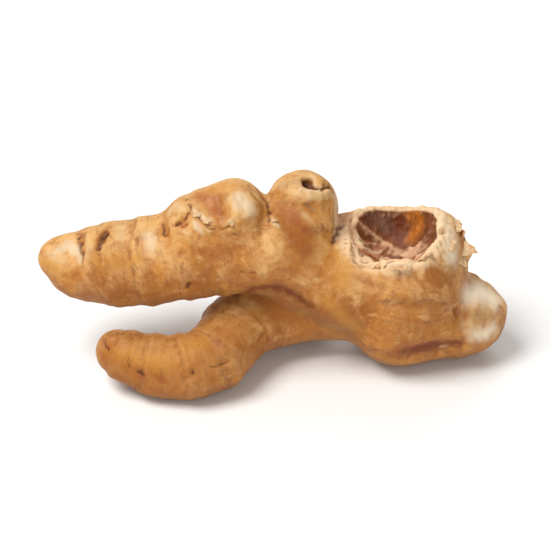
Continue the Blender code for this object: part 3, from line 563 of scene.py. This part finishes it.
class Survey:
    """What the sculpting needs to know about each vertex of the skin."""

    def __init__(self, points):
        gaps, places = zip(*(
            lobe_distance(points, smooth_path(stations)) for _, stations in LOBES.values()))
        order = np.sort(gaps, axis=0)
        self.points = points
        self.inside = -order[0]
        # 1 well inside one lobe's own skin, 0 where two lobes meet
        self.clear = smooth_step(0.2, 3.2, order[1] - order[0])
        wander = RING_WANDER * unevenness(points + MIDDLE, 11.0)
        self.along = np.zeros(len(points))
        self.from_ring = np.full(len(points), 50.0)
        for (rings, _), gap, place in zip(LOBES.values(), gaps, places):
            own = gap == order[0]
            self.along[own] = (place + wander)[own]
            for ring in rings:
                off = place + wander - ring
                nearer = own & (np.abs(off) < np.abs(self.from_ring))
                self.from_ring[nearer] = off[nearer]
        self.shallow = bite_distance(points, SHALLOW_BITE)
        self.deep = bite_distance(points, DEEP_BITE)
        centre = np.array(DEEP_BITE[0]) - MIDDLE
        self.turn = np.arctan2(points[:, 1] - centre[1], points[:, 0] - centre[0])
        # 1 in and round the break, which stays above the table and clear of the stem lobe
        self.near_break = smooth_step(*BREAK_REACH, self.shallow) * (points[:, 2] > BREAK_FLOOR)
        self.near_break *= smooth_step(*STEM_LOBE_EDGE, points[:, 0])
        self.behind = smooth_step(0, 8, points[:, 1] - centre[1])
        self.warp = np.stack([unevenness(points + shift, 1.9) for shift in (7, 40, 90)], axis=1)


def neighbours_mean(piece, values, rounds):
    """Values averaged over each vertex's neighbours, round after round."""
    edges = np.empty(len(piece.data.edges) * 2, int)
    piece.data.edges.foreach_get("vertices", edges)
    one, other = edges.reshape(-1, 2).T
    count = len(piece.data.vertices)
    links = np.bincount(one, minlength=count) + np.bincount(other, minlength=count)
    for _ in range(rounds):
        total = np.stack([
            np.bincount(one, column[other], count) + np.bincount(other, column[one], count)
            for column in values.T], axis=1)
        values = 0.5 * values + 0.5 * total / links[:, None]
    return values


def remeshed_copy(settings):
    """A fine, even copy of the solid, without its facets."""
    piece = bpy.data.objects.new("ginger_root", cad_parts[NODE].data.copy())
    bpy.context.scene.collection.objects.link(piece)
    select_only(piece)
    bpy.ops.object.mode_set(mode="EDIT")
    bpy.ops.mesh.select_all(action="SELECT")
    bpy.ops.mesh.remove_doubles(threshold=0.001 * MM)
    bpy.ops.object.mode_set(mode="OBJECT")
    even = piece.modifiers.new("even", "REMESH")
    even.mode = "VOXEL"
    even.voxel_size = settings.voxel
    facets = piece.modifiers.new("facets", "SMOOTH")
    facets.factor = 0.5
    facets.iterations = 18
    apply_modifiers(piece)
    return piece


def ring_relief(survey, height):
    """The ragged edge that each scale leaf left, with a narrow groove behind it."""
    ragged = 0.45 + 0.9 * unevenness(survey.points, 5.0) + 0.4 * unevenness(survey.points, 1.6)
    ragged = np.clip(ragged, 0, 1.2) * survey.clear
    off = survey.from_ring
    return height * ragged * (np.exp(-(off / 0.7)**2) - 1.1 * np.exp(-((off + 1.1) / 0.6)**2))


def wrinkle_relief(survey, depth):
    """Shallow wrinkles that run round each lobe, between the rings, and slow lumps beneath them."""
    stretched = np.column_stack([survey.along / 1.3, survey.points[:, 1:] / 6.5])
    wrinkles = np.array([noise.noise(Vector(point)) for point in stretched]) * survey.clear
    lumps = 0.12 * unevenness(survey.points, 4.2) + 0.05 * unevenness(survey.points, 1.7)
    return depth * 1.6 * wrinkles + lumps


def break_relief(survey, tear):
    """The torn rim stands up in shreds, the ridge inside is knotty and the walls are fibrous."""
    rim = survey.shallow - np.maximum(survey.inside, 0)
    coarse = unevenness(survey.points, 2.1)
    fine = unevenness(survey.points, 1.1)
    # Folds and fibres run towards the middle of the break, one about every 2 mm
    ring = 9 * np.column_stack([np.cos(survey.turn), np.sin(survey.turn)])
    fibres = np.array([
        noise.noise(Vector((*spot, gap / 5))) for spot, gap in zip(ring, survey.inside)])
    folds = 0.6 - 2.4 * np.abs([
        noise.noise(Vector((*spot, 9 + out / 3.5))) for spot, out in zip(ring, survey.shallow)])
    lip = np.exp(-(rim / 0.8)**2) * (0.4 + 1.8 * coarse + 0.6 * fine)
    ridge = np.exp(-((survey.deep - 0.8) / 0.9)**2) * (coarse + fine) * (rim < -1)
    wall = smooth_step(-0.5, -2.5, rim) * (0.6 * fibres + 0.4 * fine)
    creased = 0.5 - 2.2 * np.abs(unevenness(survey.points, 2.6))
    skirt = smooth_step(-1.0, 0.3, rim) * smooth_step(4.5, 0.5, rim)
    skirt *= 0.6 * folds + 1.2 * creased + 0.3 * fine
    return tear * (lip + ridge + wall + skirt) * survey.near_break


def place_on_skin(piece, skin, point):
    """Where a stroke's point lies on the skin, with its radius, in millimetres."""
    if len(point) == 4:
        return (*skin[np.argmin(np.linalg.norm(skin - point[:3], axis=1))], point[3])
    across, down, radius = point
    up = Vector((0, math.sin(VIEW_ANGLE), math.cos(VIEW_ANGLE)))
    back = Vector((0, -math.cos(VIEW_ANGLE), math.sin(VIEW_ANGLE)))
    middle = up * (TABLE_STEP - VIEW_MIDDLE[1]) * VIEW_STEP - Vector(MIDDLE)
    eye = middle + back * EYE_DISTANCE
    target = middle + up * (VIEW_MIDDLE[1] - down) * VIEW_STEP
    target.x += (across - VIEW_MIDDLE[0]) * VIEW_STEP
    met, where, _, _ = piece.ray_cast(eye * MM, target - eye)
    if not met:
        raise ValueError(f"no skin at {point} in the front view")
    return (*(where / MM), radius)


def stroke_relief(piece, survey, skin, tints):
    """Presses in or raises each eye, scar and bud, and notes its tint."""
    height = np.zeros(len(skin))
    ragged = skin + 0.7 * survey.warp
    for tint, depth, crisp, rim, points in STROKES:
        route = np.array([place_on_skin(piece, skin, point) for point in points])
        route[:, 3] = np.maximum(route[:, 3], NARROWEST)
        if len(route) == 1:
            route = np.vstack([route, route + (0.01, 0, 0, 0)])
        gap, _ = lobe_distance(ragged, route)
        pressed = 1 / (1 + np.exp(np.clip(gap * crisp, -50, 50)))
        height += rim * np.exp(-((gap - 0.5) / 0.4)**2) - depth * pressed
        tints[tint] = np.maximum(tints[tint], pressed)
    torn = tints["scar"] + tints["peel"] + tints["dark"]
    return height + TORN_ROUGHNESS * torn * survey.warp.sum(1)


def sculpt(piece, settings):
    """Works the skin over and stores what the material reads."""
    skin = positions_of(piece)
    survey = Survey(skin)
    tints = {tint: np.zeros(len(skin)) for tint in TINTS}
    height = ring_relief(survey, settings.ring_height / MM)
    height += wrinkle_relief(survey, settings.wrinkle / MM) * (1 - 0.6 * survey.near_break)
    height += break_relief(survey, settings.tear / MM)
    height += stroke_relief(piece, survey, skin, tints)
    # The flat spots stay as they are, and nothing goes below the table
    off_table = smooth_step(0.3, 2.0, skin[:, 2])
    skin = skin + (height * off_table)[:, None] * normals_of(piece)
    skin[:, 2] = np.maximum(skin[:, 2], 0)
    move_vertices(piece, skin)
    normals = normals_of(piece)
    # Folds and crests stand off the skin averaged over about 1 mm, swellings off that over 4 mm
    near = neighbours_mean(piece, skin, 5)
    far = neighbours_mean(piece, near, 60)
    upward = neighbours_mean(piece, normals, 40)[:, 2]
    swelling = ((near - far) * normals).sum(1)
    # Averaged, so that lines and rings pass smoothly from one lobe to the next
    lines = np.stack([survey.along, np.clip(survey.from_ring, -8, 8)], axis=1)
    along, from_ring = neighbours_mean(piece, lines, 14).T
    # The hollow's edge lies at the rim in front and higher up its wall behind
    rim = survey.shallow - np.maximum(survey.inside, 0)
    broken = survey.near_break > 0
    hollow = smooth_step(-0.3, -1.3, rim - 1.3 * survey.behind) * broken
    noted = {
        "along": along,
        "turn": np.abs(survey.turn),
        "clear": survey.clear,
        "ring_line": smooth_step(0.9, 0.1, np.abs(from_ring + 1.1)) * survey.clear,
        "ring_tone": smooth_step(4.5, 0.5, np.abs(from_ring)) * survey.clear,
        # painted shade: darker in the folds
        "fold": -((skin - near) * normals).sum(1),
        # painted highlight: paler on the crests
        "crest": ((skin - near) * normals).sum(1),
        # paler on rubbed swellings as wear, and paler on upward faces as painted light from above
        "worn": 0.35 * upward + 0.5 * swelling,
        # painted shade: darker on undersides and in hollows
        "under": -upward - 0.4 * swelling,
        "hollow": hollow,
        "torn_rim": (1 - hollow) * smooth_step(5.0, 0.0, rim) * broken,
    }
    for name, values in (tints | noted).items():
        store(piece, name, values)


# The layers of the finish, from the first to the last laid over. Each shows where a value, plus
# some of a noise, passes from one number to another, and only within a second value:
# value, noise, how much of it, from, to, most that shows, within, colour
FINISH = [
    ("mottle", "blotch", 0.45, 0.62, 0.92, 0.85, "all", 0xA3561A),
    # paler on rubbed swellings as wear, and on upward faces as a painted highlight from above
    ("worn", "mottle", 1.4, 0.66, 1.14, 0.85, "all", 0xD8A969),
    ("freckle", "grain", 0.3, 0.62, 0.84, 0.65, "all", 0x9C5A22),
    ("freckle", "grain", 0.3, 0.60, 0.40, 0.50, "all", 0xDDB077),
    # painted shade: undersides and hollows darker
    ("under", "mottle", 0.8, 0.40, 1.20, 0.70, "all", 0x946A42),
    ("amber", "mottle", 0.6, 0.25, 0.95, 0.85, "amber", 0xA05E18),
    ("gold", "mottle", 0.8, 0.50, 1.15, 0.85, "gold", 0xC08434),
    ("lines", "grain", 0.1, 0.55, 0.74, 0.30, "clear", 0x8F5E30),
    ("lines", "grain", 0.1, 0.48, 0.34, 0.07, "clear", 0xE2BC8C),
    ("mottle", "blotch", 0.3, 0.58, 0.84, 0.35, "ring_tone", 0x935A28),
    ("blotch", "grain", 0.2, 0.50, 0.76, 0.50, "ring_line", 0x6F4120),
    # painted shade in the folds and creases
    ("fold", "grain", 0.03, 0.03, 0.16, 0.75, "all", 0x6B3A18),
    # painted highlight on the crests
    ("crest", "grain", 0.03, 0.10, 0.24, 0.45, "all", 0xE2BD8A),
    ("dotted", "mottle", 0.8, 0.75, 1.30, 0.65, "all", 0x64401F),
    ("red", "blotch", 1.3, 0.75, 1.65, 0.80, "red", 0x90481A),
    ("cream", "blotch", 1.2, 0.75, 1.60, 0.80, "cream", 0xD2AE7E),
    ("peel", "blotch", 1.2, 0.65, 1.40, 0.90, "peel", 0xD6BC98),
    ("bare", "blotch", 0.9, 0.40, 1.10, 0.97, "bare", 0xF3E4CA),
    ("ash", "blotch", 1.2, 0.80, 1.50, 0.65, "ash", 0xA0825E),
    ("scar", "blotch", 1.0, 0.65, 1.30, 0.90, "scar", 0xA05420),
    ("blotch", "grain", 0.4, 0.66, 0.86, 0.60, "scar", 0xCC9660),
    ("freckle", "grain", 0.4, 0.62, 0.46, 0.60, "scar", 0x7C401C),
    # soil, and painted shade where it marks the fold under the upper finger and the gap edge
    ("soil", "blotch", 1.6, 0.85, 1.75, 1.00, "soil", 0x6E2E08),
    ("torn_rim", "blotch", 2.0, 1.00, 1.70, 0.95, "torn_rim", 0xE3C39A),
    # painted shade in the folds of the torn rim
    ("fold", "grain", 0.03, 0.05, 0.20, 0.70, "torn_rim", 0x8A5A30),
    ("hollow", "blotch", 0.2, 0.30, 0.90, 1.00, "all", 0x7C4626),
    ("plum", "blotch", 0.5, 0.50, 1.10, 0.80, "hollow", 0x72503E),
    ("orange", "blotch", 0.5, 0.50, 1.20, 0.95, "hollow", 0xBD6F22),
    ("fibre", "blotch", 0.6, 0.50, 1.20, 0.90, "fibre", 0x9A5430),
    ("streak", "blotch", 0.2, 0.58, 0.82, 0.60, "hollow", 0x4B2711),
    ("streak", "blotch", 0.2, 0.52, 0.34, 0.30, "hollow", 0xB98450),
    ("soil", "blotch", 0.6, 0.45, 1.10, 0.85, "hollow", 0x6A2F0C),
    # painted highlight on the crests of the torn flesh and its fibres
    ("crest", "grain", 0.05, 0.06, 0.22, 0.50, "hollow", 0xC79262),
    ("crest", "grain", 0.05, 0.05, 0.20, 0.50, "fibre", 0xD09A72),
    ("pink", "blotch", 0.8, 0.55, 1.15, 0.92, "pink", 0xE2B288),
    ("dark", "blotch", 0.6, 0.60, 1.15, 0.88, "dark", 0x4C2008),
    ("dark", "blotch", 0.3, 0.92, 1.12, 0.80, "dark", 0x2A1004),
]
# How much each value adds to the roughness, and to the height of the bumps
DULLNESS = [("grain", 0.16), ("hollow", -0.06), ("worn", -0.07), ("scar", -0.08)]
BUMPS = [("lines", 0.24), ("blotch", 0.45), ("grain", 0.30), ("dotted", -0.12)]


def ginger_skin_material(settings):
    """Dry ginger skin: a thin layer of tan cork over pale flesh, grown and then air-dried.

    It gives the eye a warm matt tan that is uneven at every scale: broad pale and brown areas, a
    darker line at each leaf scar, fine lines round the lobes, small dark specks, pale rubbed spots,
    and moist-looking orange flesh in the break. Light is painted in too: paler tops and crests as
    painted highlight, darker undersides and folds as painted shade.
    """
    material, tree, surface = new_material("dried_ginger_cork")
    place = add_node(tree, "ShaderNodeTexCoord").outputs["Object"]
    stored = {value for row in FINISH + DULLNESS for value in row if isinstance(value, str)}
    made_here = {"all", "mottle", "freckle", "blotch", "grain", "lines", "streak", "dotted"}
    read = {
        name: add_node(tree, "ShaderNodeAttribute", attribute_name=name).outputs["Fac"]
        for name in sorted(stored - made_here | {"along", "turn"})
    }
    # Noise at real sizes: broad areas are 16 mm across, mottles 6 mm, freckles 3 mm, blotches
    # 1.8 mm and grain 0.5 mm, about the finest that the render can show
    for name, size, detail, rough, bend in (
            ("broad", 16, 2, 0.5, 0.4), ("mottle", 6, 4, 0.6, 0.8), ("freckle", 3, 4, 0.65, 0.5),
            ("blotch", 1.8, 3, 0.6, 0.3), ("grain", 0.5, 3, 0.6, 0.0)):
        read[name] = add_node(tree, "ShaderNodeTexNoise", {
            "Vector": place, "Scale": 1 / (size * MM), "Detail": detail, "Roughness": rough,
            "Distortion": bend}).outputs["Fac"]
    # Lines round each lobe, one every 0.9 mm, as the real 0.3 mm would be too fine to show, and
    # 11 mm long. Streaks down the wall of the break, about 2 mm apart and 6 mm long
    apart = add_node(tree, "ShaderNodeSeparateXYZ", {"Vector": place})
    for name, across, per_mm, along_it, per_metre in (
            ("lines", "along", 1.1, "Y", 90.0), ("streak", "turn", 6.0, "Z", 160.0)):
        scaled = [
            add_node(tree, "ShaderNodeMath", {0: source, 1: scale}, operation="MULTIPLY")
            for source, scale in ((read[across], per_mm), (apart.outputs[along_it], per_metre))]
        grid = add_node(tree, "ShaderNodeCombineXYZ", {
            "X": scaled[0].outputs[0], "Y": scaled[1].outputs[0]})
        read[name] = add_node(tree, "ShaderNodeTexNoise", {
            "Vector": grid.outputs[0], "Scale": 1.0, "Detail": 3.0,
            "Roughness": 0.55}).outputs["Fac"]
    # Small dark specks, 2.2 mm apart and 0.4 mm across
    cells = add_node(tree, "ShaderNodeTexVoronoi", {
        "Vector": place, "Scale": 1 / (2.2 * MM), "Randomness": 1.0})
    read["dotted"] = add_node(tree, "ShaderNodeMapRange", {
        "Value": cells.outputs["Distance"], "From Min": 0.13, "From Max": 0.03}).outputs[0]

    ground = add_node(tree, "ShaderNodeMapRange", {
        "Value": read["broad"], "From Min": 0.36, "From Max": 0.66})
    tone = add_node(tree, "ShaderNodeMix", {
        0: ground.outputs[0], 6: (*settings.brown, 1), 7: (*settings.tan, 1)}, data_type="RGBA")
    for value, noisy, amount, low, high, most, within, colour in FINISH:
        edge = add_node(tree, "ShaderNodeMath", {0: read[noisy], 1: amount, 2: read[value]},
                        operation="MULTIPLY_ADD")
        share = add_node(tree, "ShaderNodeMapRange", {
            "Value": edge.outputs[0], "From Min": low, "From Max": high, "To Max": most},
            interpolation_type="SMOOTHSTEP")
        if within != "all":
            share = add_node(tree, "ShaderNodeMath", {0: share.outputs[0], 1: read[within]},
                             operation="MULTIPLY")
        tone = add_node(tree, "ShaderNodeMix", {
            0: share.outputs[0], 6: tone.outputs[2], 7: (*linear(colour), 1)}, data_type="RGBA")
    tree.links.new(tone.outputs[2], surface["Base Color"])

    # Cork is matt, rubbed skin has a slight shine and the flesh in the break looks moist
    for socket, base, rows in (("Roughness", 0.54, DULLNESS), ("Normal", 0.0, BUMPS)):
        total = base
        for value, amount in rows:
            total = add_node(tree, "ShaderNodeMath", {0: read[value], 1: amount, 2: total},
                             operation="MULTIPLY_ADD").outputs[0]
        if socket == "Normal":
            total = add_node(tree, "ShaderNodeBump", {
                "Height": total, "Strength": 0.5, "Distance": 0.25 * MM}).outputs[0]
        tree.links.new(total, surface[socket])
    surface["IOR"].default_value = 1.45
    surface["Specular IOR Level"].default_value = 0.36
    surface["Subsurface Weight"].default_value = 0.08
    surface["Subsurface Radius"].default_value = (1.0, 0.45, 0.2)
    surface["Subsurface Scale"].default_value = 1.5 * MM
    return material


def model_scrap(name, rows, lift):
    """A scrap of dry skin, 1 mm wide and long, that is drawn out row after row and curls up."""
    step = MM / rows
    bpy.ops.object.select_all(action="DESELECT")
    bpy.ops.mesh.primitive_grid_add(x_subdivisions=10, y_subdivisions=1, size=MM)
    scrap = bpy.context.object
    scrap.name = name
    scrap.scale.y = step / MM
    scrap.location.y = step / 2
    bpy.ops.object.transform_apply(location=True, rotation=True, scale=True)
    for vertex in scrap.data.vertices:
        vertex.select = vertex.co.y > step / 2
    bpy.ops.object.mode_set(mode="EDIT")
    bpy.ops.mesh.select_mode(type="VERT")
    for row in range(1, rows):
        angle = lift * row / rows
        bpy.ops.mesh.extrude_region_move(TRANSFORM_OT_translate={
            "value": (0, step * math.cos(angle), step * math.sin(angle))})
    bpy.ops.object.mode_set(mode="OBJECT")
    return scrap


def lay_on_skin(piece, skin, place, outward, along, lift):
    """Bends a scrap to the skin at its root and lets its tip stand off, both in millimetres."""
    across = np.cross(along, outward)
    raised = along * math.cos(lift) + outward * math.sin(lift)
    normal = np.cross(across, raised)
    laid = []
    for x, y, z in positions_of(piece):
        met, spot, facing, _ = skin.closest_point_on_mesh(
            Vector(place + across * x + along * y) * MM)
        if not met:
            raise ValueError(f"no skin near {place}")
        close = np.array(spot) / MM + np.array(facing) * (z + 0.3 * y - SCRAP_SUNK)
        free = place + across * x + raised * y + normal * z - outward * SCRAP_SUNK
        share = smooth_step(0.0, SCRAP_HINGE, y)
        laid.append(close * (1 - share) + free * share)
    move_vertices(piece, np.array(laid))


def lay_scraps(name, rows, curl, thickness, table, material):
    """Copies one scrap to each place of the table, tears its edge and gives it its thickness."""
    skin = bpy.data.objects["ginger_root"]
    points = positions_of(skin)
    pattern = model_scrap(name, rows, curl)
    for number, (point, direction, length, lift, tip) in enumerate(table, 1):
        *place, width = place_on_skin(skin, points, point)
        _, _, outward, _ = skin.closest_point_on_mesh(Vector(place) * MM)
        along = Vector(direction) - outward * outward.dot(direction)
        piece = bpy.data.objects.new(f"{name}_{number}", pattern.data.copy())
        bpy.context.scene.collection.objects.link(piece)
        shape = positions_of(piece) * (width, length, length)
        out = np.clip(shape[:, 1:2] / length, 0, 1)
        # The edge is torn most at the tip, and no two scraps are torn alike
        torn = np.stack([unevenness(shape + 17 * number + shift, 1.1) for shift in (0, 30, 60)], 1)
        shape[:, :1] *= 1 - (1 - tip) * out**1.3
        shape[:, 1] *= 1 + 0.8 * unevenness(shape * (1, 0, 0) + 11 * number, 1.0)
        shape += torn * (0.5, 0.5, 0.35) * out
        move_vertices(piece, shape)
        store(piece, "across", shape[:, 0])
        store(piece, "tip", shape[:, 1] / length)
        lay_on_skin(piece, skin, np.array(place), np.array(outward),
                    np.array(along.normalized()), math.radians(lift))
        wall = piece.modifiers.new("wall", "SOLIDIFY")
        wall.thickness = thickness
        wall.offset = 0
        soft = piece.modifiers.new("soft", "SUBSURF")
        soft.levels = soft.render_levels = 1
        apply_modifiers(piece)
        bpy.ops.object.shade_smooth()
        piece.data.materials.append(material)
        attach(piece, BODY)
    bpy.data.objects.remove(pattern)


def model_stump():
    """A root stump 1 mm high on a collar, which leans a little and is broken off with a hollow."""
    bpy.ops.object.select_all(action="DESELECT")
    bpy.ops.mesh.primitive_cylinder_add(
        vertices=12, radius=1.3 * MM, depth=0.6 * MM, location=(0, 0, -0.3 * MM))
    stump = bpy.context.object
    bpy.ops.object.transform_apply(location=True, rotation=True, scale=True)
    for face in stump.data.polygons:
        face.select = face.normal.z > 0.5
    for part in (*stump.data.edges, *stump.data.vertices):
        part.select = False
    bpy.ops.object.mode_set(mode="EDIT")
    bpy.ops.mesh.select_mode(type="FACE")
    for rise, lean, taper in (
            (0.25, 0.0, 0.78), (0.3, 0.05, 0.9), (0.3, 0.1, 1.08), (0.15, 0.05, 0.8)):
        bpy.ops.mesh.extrude_region_move(TRANSFORM_OT_translate={
            "value": (lean * MM, 0, rise * MM)})
        bpy.ops.transform.resize(value=(taper, taper, 1))
    bpy.ops.mesh.inset(thickness=0.2 * MM)
    bpy.ops.mesh.extrude_region_move(TRANSFORM_OT_translate={"value": (0, 0, -0.2 * MM)})
    bpy.ops.object.mode_set(mode="OBJECT")
    soft = stump.modifiers.new("soft", "SUBSURF")
    soft.levels = soft.render_levels = 2
    apply_modifiers(stump)
    bpy.ops.object.shade_smooth()
    return stump


def paper_material(name, light, dark):
    """Papery dry skin: thin cork that has come loose, pale and fibrous, darker towards its tip."""
    material, tree, surface = new_material(name)
    place = add_node(tree, "ShaderNodeTexCoord").outputs["Object"]
    across, tip = (add_node(tree, "ShaderNodeAttribute", attribute_name=kept).outputs["Fac"]
                   for kept in ("across", "tip"))
    # Fibres run along the scrap, about 0.4 mm apart
    spread = add_node(tree, "ShaderNodeMath", {0: across, 1: 2.5}, operation="MULTIPLY")
    grid = add_node(tree, "ShaderNodeCombineXYZ", {"X": spread.outputs[0], "Y": tip})
    fibre = add_node(tree, "ShaderNodeTexNoise", {
        "Vector": grid.outputs[0], "Scale": 1.0, "Detail": 3.0}).outputs["Fac"]
    # Blotches 1.2 mm across
    blotch = add_node(tree, "ShaderNodeTexNoise", {
        "Vector": place, "Scale": 1 / (1.2 * MM), "Detail": 3.0}).outputs["Fac"]
    mixed = add_node(tree, "ShaderNodeMath", {0: tip, 1: 0.25, 2: blotch},
                     operation="MULTIPLY_ADD")
    mixed = add_node(tree, "ShaderNodeMath", {0: fibre, 1: 0.7, 2: mixed.outputs[0]},
                     operation="MULTIPLY_ADD")
    share = add_node(tree, "ShaderNodeMapRange", {
        "Value": mixed.outputs[0], "From Min": 0.75, "From Max": 1.25})
    tone = add_node(tree, "ShaderNodeMix", {
        0: share.outputs[0], 6: (*light, 1), 7: (*dark, 1)}, data_type="RGBA")
    tree.links.new(tone.outputs[2], surface["Base Color"])
    bump = add_node(tree, "ShaderNodeBump", {
        "Height": mixed.outputs[0], "Strength": 0.5, "Distance": 0.15 * MM})
    tree.links.new(bump.outputs[0], surface["Normal"])
    surface["Roughness"].default_value = 0.62
    surface["IOR"].default_value = 1.45
    surface["Subsurface Weight"].default_value = 0.15
    surface["Subsurface Radius"].default_value = (1.0, 0.5, 0.25)
    surface["Subsurface Scale"].default_value = 0.8 * MM
    return material


class GINGER_OT_skin(bpy.types.Operator):
    """Make the root's skin from the solid, sculpt it and give it its material"""
    bl_idname = "ginger.skin"
    bl_label = "Root and its skin"

    def execute(self, context):
        settings = context.scene.ginger_skin
        piece = remeshed_copy(settings)
        sculpt(piece, settings)
        piece.data.materials.clear()
        piece.data.materials.append(ginger_skin_material(settings))
        select_only(piece)
        bpy.ops.object.shade_smooth()
        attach(piece, BODY)
        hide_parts(NODE)
        return {"FINISHED"}


class GINGER_OT_curls(bpy.types.Operator):
    """Make the curls of papery skin round the break, on the shoulder and on the knob"""
    bl_idname = "ginger.curls"
    bl_label = "Curls of papery skin"

    def execute(self, context):
        settings = context.scene.ginger_skin
        material = paper_material("papery_ginger_skin", settings.pale, settings.loose)
        lay_scraps("paper_curl", 7, math.radians(40), settings.paper, PAPER_CURLS, material)
        return {"FINISHED"}


class GINGER_OT_leaves(bpy.types.Operator):
    """Make the dry stumps of scale leaves along the rings"""
    bl_idname = "ginger.leaves"
    bl_label = "Scale leaves"

    def execute(self, context):
        settings = context.scene.ginger_skin
        material = paper_material("dry_scale_leaf", settings.loose, settings.leaf)
        lay_scraps("scale_leaf", 4, math.radians(10), settings.paper, SCALE_LEAVES, material)
        return {"FINISHED"}


class GINGER_OT_roots(bpy.types.Operator):
    """Make the stumps of the thin roots, with their broken ends"""
    bl_idname = "ginger.roots"
    bl_label = "Root stumps"

    def execute(self, context):
        settings = context.scene.ginger_skin
        skin = bpy.data.objects["ginger_root"]
        points = positions_of(skin)
        pattern = model_stump()
        material = paper_material("dry_ginger_root", settings.leaf, settings.soil)
        for number, (point, length) in enumerate(ROOT_STUMPS, 1):
            *place, radius = place_on_skin(skin, points, point)
            _, _, outward, _ = skin.closest_point_on_mesh(Vector(place) * MM)
            piece = bpy.data.objects.new(f"root_stump_{number}", pattern.data.copy())
            context.scene.collection.objects.link(piece)
            shape = positions_of(piece) * (radius, radius, length)
            # Dried roots shrink into ridges that run along them, and no two break alike
            turn = np.arctan2(shape[:, 1], shape[:, 0])
            ridges = np.array([noise.noise(Vector((2 * math.cos(t), 2 * math.sin(t), number)))
                               for t in turn])
            shape[:, :2] *= (1 + 0.35 * ridges)[:, None]
            shape[:, 2] += 0.3 * unevenness(shape + number * 9, 0.8) * (shape[:, 2] > 0.5)
            move_vertices(piece, shape)
            store(piece, "across", turn * 1.5)
            store(piece, "tip", shape[:, 2] / length)
            piece.location = Vector(place) * MM
            piece.rotation_mode = "QUATERNION"
            piece.rotation_quaternion = outward.to_track_quat("Z", "Y")
            select_only(piece)
            bpy.ops.object.transform_apply(location=True, rotation=True, scale=True)
            piece.data.materials.append(material)
            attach(piece, BODY)
        bpy.data.objects.remove(pattern)
        return {"FINISHED"}


class GINGER_OT_stage(bpy.types.Operator):
    """Set the pale floor, the soft light and the camera"""
    bl_idname = "ginger.stage"
    bl_label = "Floor, light and camera"

    def execute(self, context):
        settings = context.scene.ginger_stage
        scene = context.scene
        bpy.ops.object.select_all(action="DESELECT")
        bpy.ops.mesh.primitive_plane_add(size=6, location=(0, 0, 0))
        floor = context.object
        floor.name = "floor"
        material, _, surface = new_material("matt_white_board")
        surface["Base Color"].default_value = (*settings.floor_colour, 1)
        surface["Roughness"].default_value = 0.9
        floor.data.materials.append(material)
        low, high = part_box(NODE)
        middle = (Vector(low) + Vector(high)) / 2
        lights = [
            ("main_light", (-0.34, -0.16, 0.72), 0.45, settings.key_power),
            ("front_fill", (0.35, -0.80, 0.35), 0.9, settings.key_power * 0.35),
            ("back_light", (0.15, 0.70, 0.60), 0.6, settings.key_power * 0.35),
        ]
        for name, place, size, power in lights:
            light = bpy.data.lights.new(name, "AREA")
            light.shape = "DISK"
            light.size = size
            light.energy = power
            lamp = bpy.data.objects.new(name, light)
            lamp.location = place
            lamp.rotation_mode = "QUATERNION"
            lamp.rotation_quaternion = (middle - Vector(place)).to_track_quat("-Z", "Y")
            scene.collection.objects.link(lamp)
        world = bpy.data.worlds.new("studio")
        world.use_nodes = True
        background = world.node_tree.nodes["Background"]
        background.inputs["Color"].default_value = (1, 1, 1, 1)
        background.inputs["Strength"].default_value = 0.38
        scene.world = world
        scene.view_settings.view_transform = "Standard"
        camera = bpy.data.cameras.new("camera")
        camera.sensor_width = 36
        camera.lens = camera.sensor_width * settings.distance / settings.seen_width
        viewer = bpy.data.objects.new("camera", camera)
        back = Vector((0, -math.cos(settings.elevation), math.sin(settings.elevation)))
        viewer.location = middle + back * settings.distance
        viewer.rotation_mode = "QUATERNION"
        viewer.rotation_quaternion = (-back).to_track_quat("-Z", "Y")
        scene.collection.objects.link(viewer)
        scene.camera = viewer
        return {"FINISHED"}


class GINGER_PT_panel(bpy.types.Panel):
    """Lists the root's pieces in the order they are made"""
    bl_idname = "GINGER_PT_panel"
    bl_label = "Ginger Root"
    bl_space_type = "VIEW_3D"
    bl_region_type = "UI"
    bl_category = "Ginger"

    def draw(self, context):
        for settings in (context.scene.ginger_skin, context.scene.ginger_stage):
            for name in settings.__annotations__:
                self.layout.prop(settings, name)
        for operator in OPERATORS:
            self.layout.operator(operator.bl_idname)


OPERATORS = (GINGER_OT_skin, GINGER_OT_curls, GINGER_OT_leaves, GINGER_OT_roots, GINGER_OT_stage)
CLASSES = (GingerSkinSettings, GingerStageSettings, *OPERATORS, GINGER_PT_panel)


def register():
    for made in CLASSES:
        bpy.utils.register_class(made)
    bpy.types.Scene.ginger_skin = bpy.props.PointerProperty(type=GingerSkinSettings)
    bpy.types.Scene.ginger_stage = bpy.props.PointerProperty(type=GingerStageSettings)


def unregister():
    del bpy.types.Scene.ginger_stage
    del bpy.types.Scene.ginger_skin
    for made in reversed(CLASSES):
        bpy.utils.unregister_class(made)


def main():
    register()
    bpy.ops.ginger.skin()
    bpy.ops.ginger.curls()
    bpy.ops.ginger.leaves()
    bpy.ops.ginger.roots()
    bpy.ops.ginger.stage()


if __name__ == "__main__":
    main()
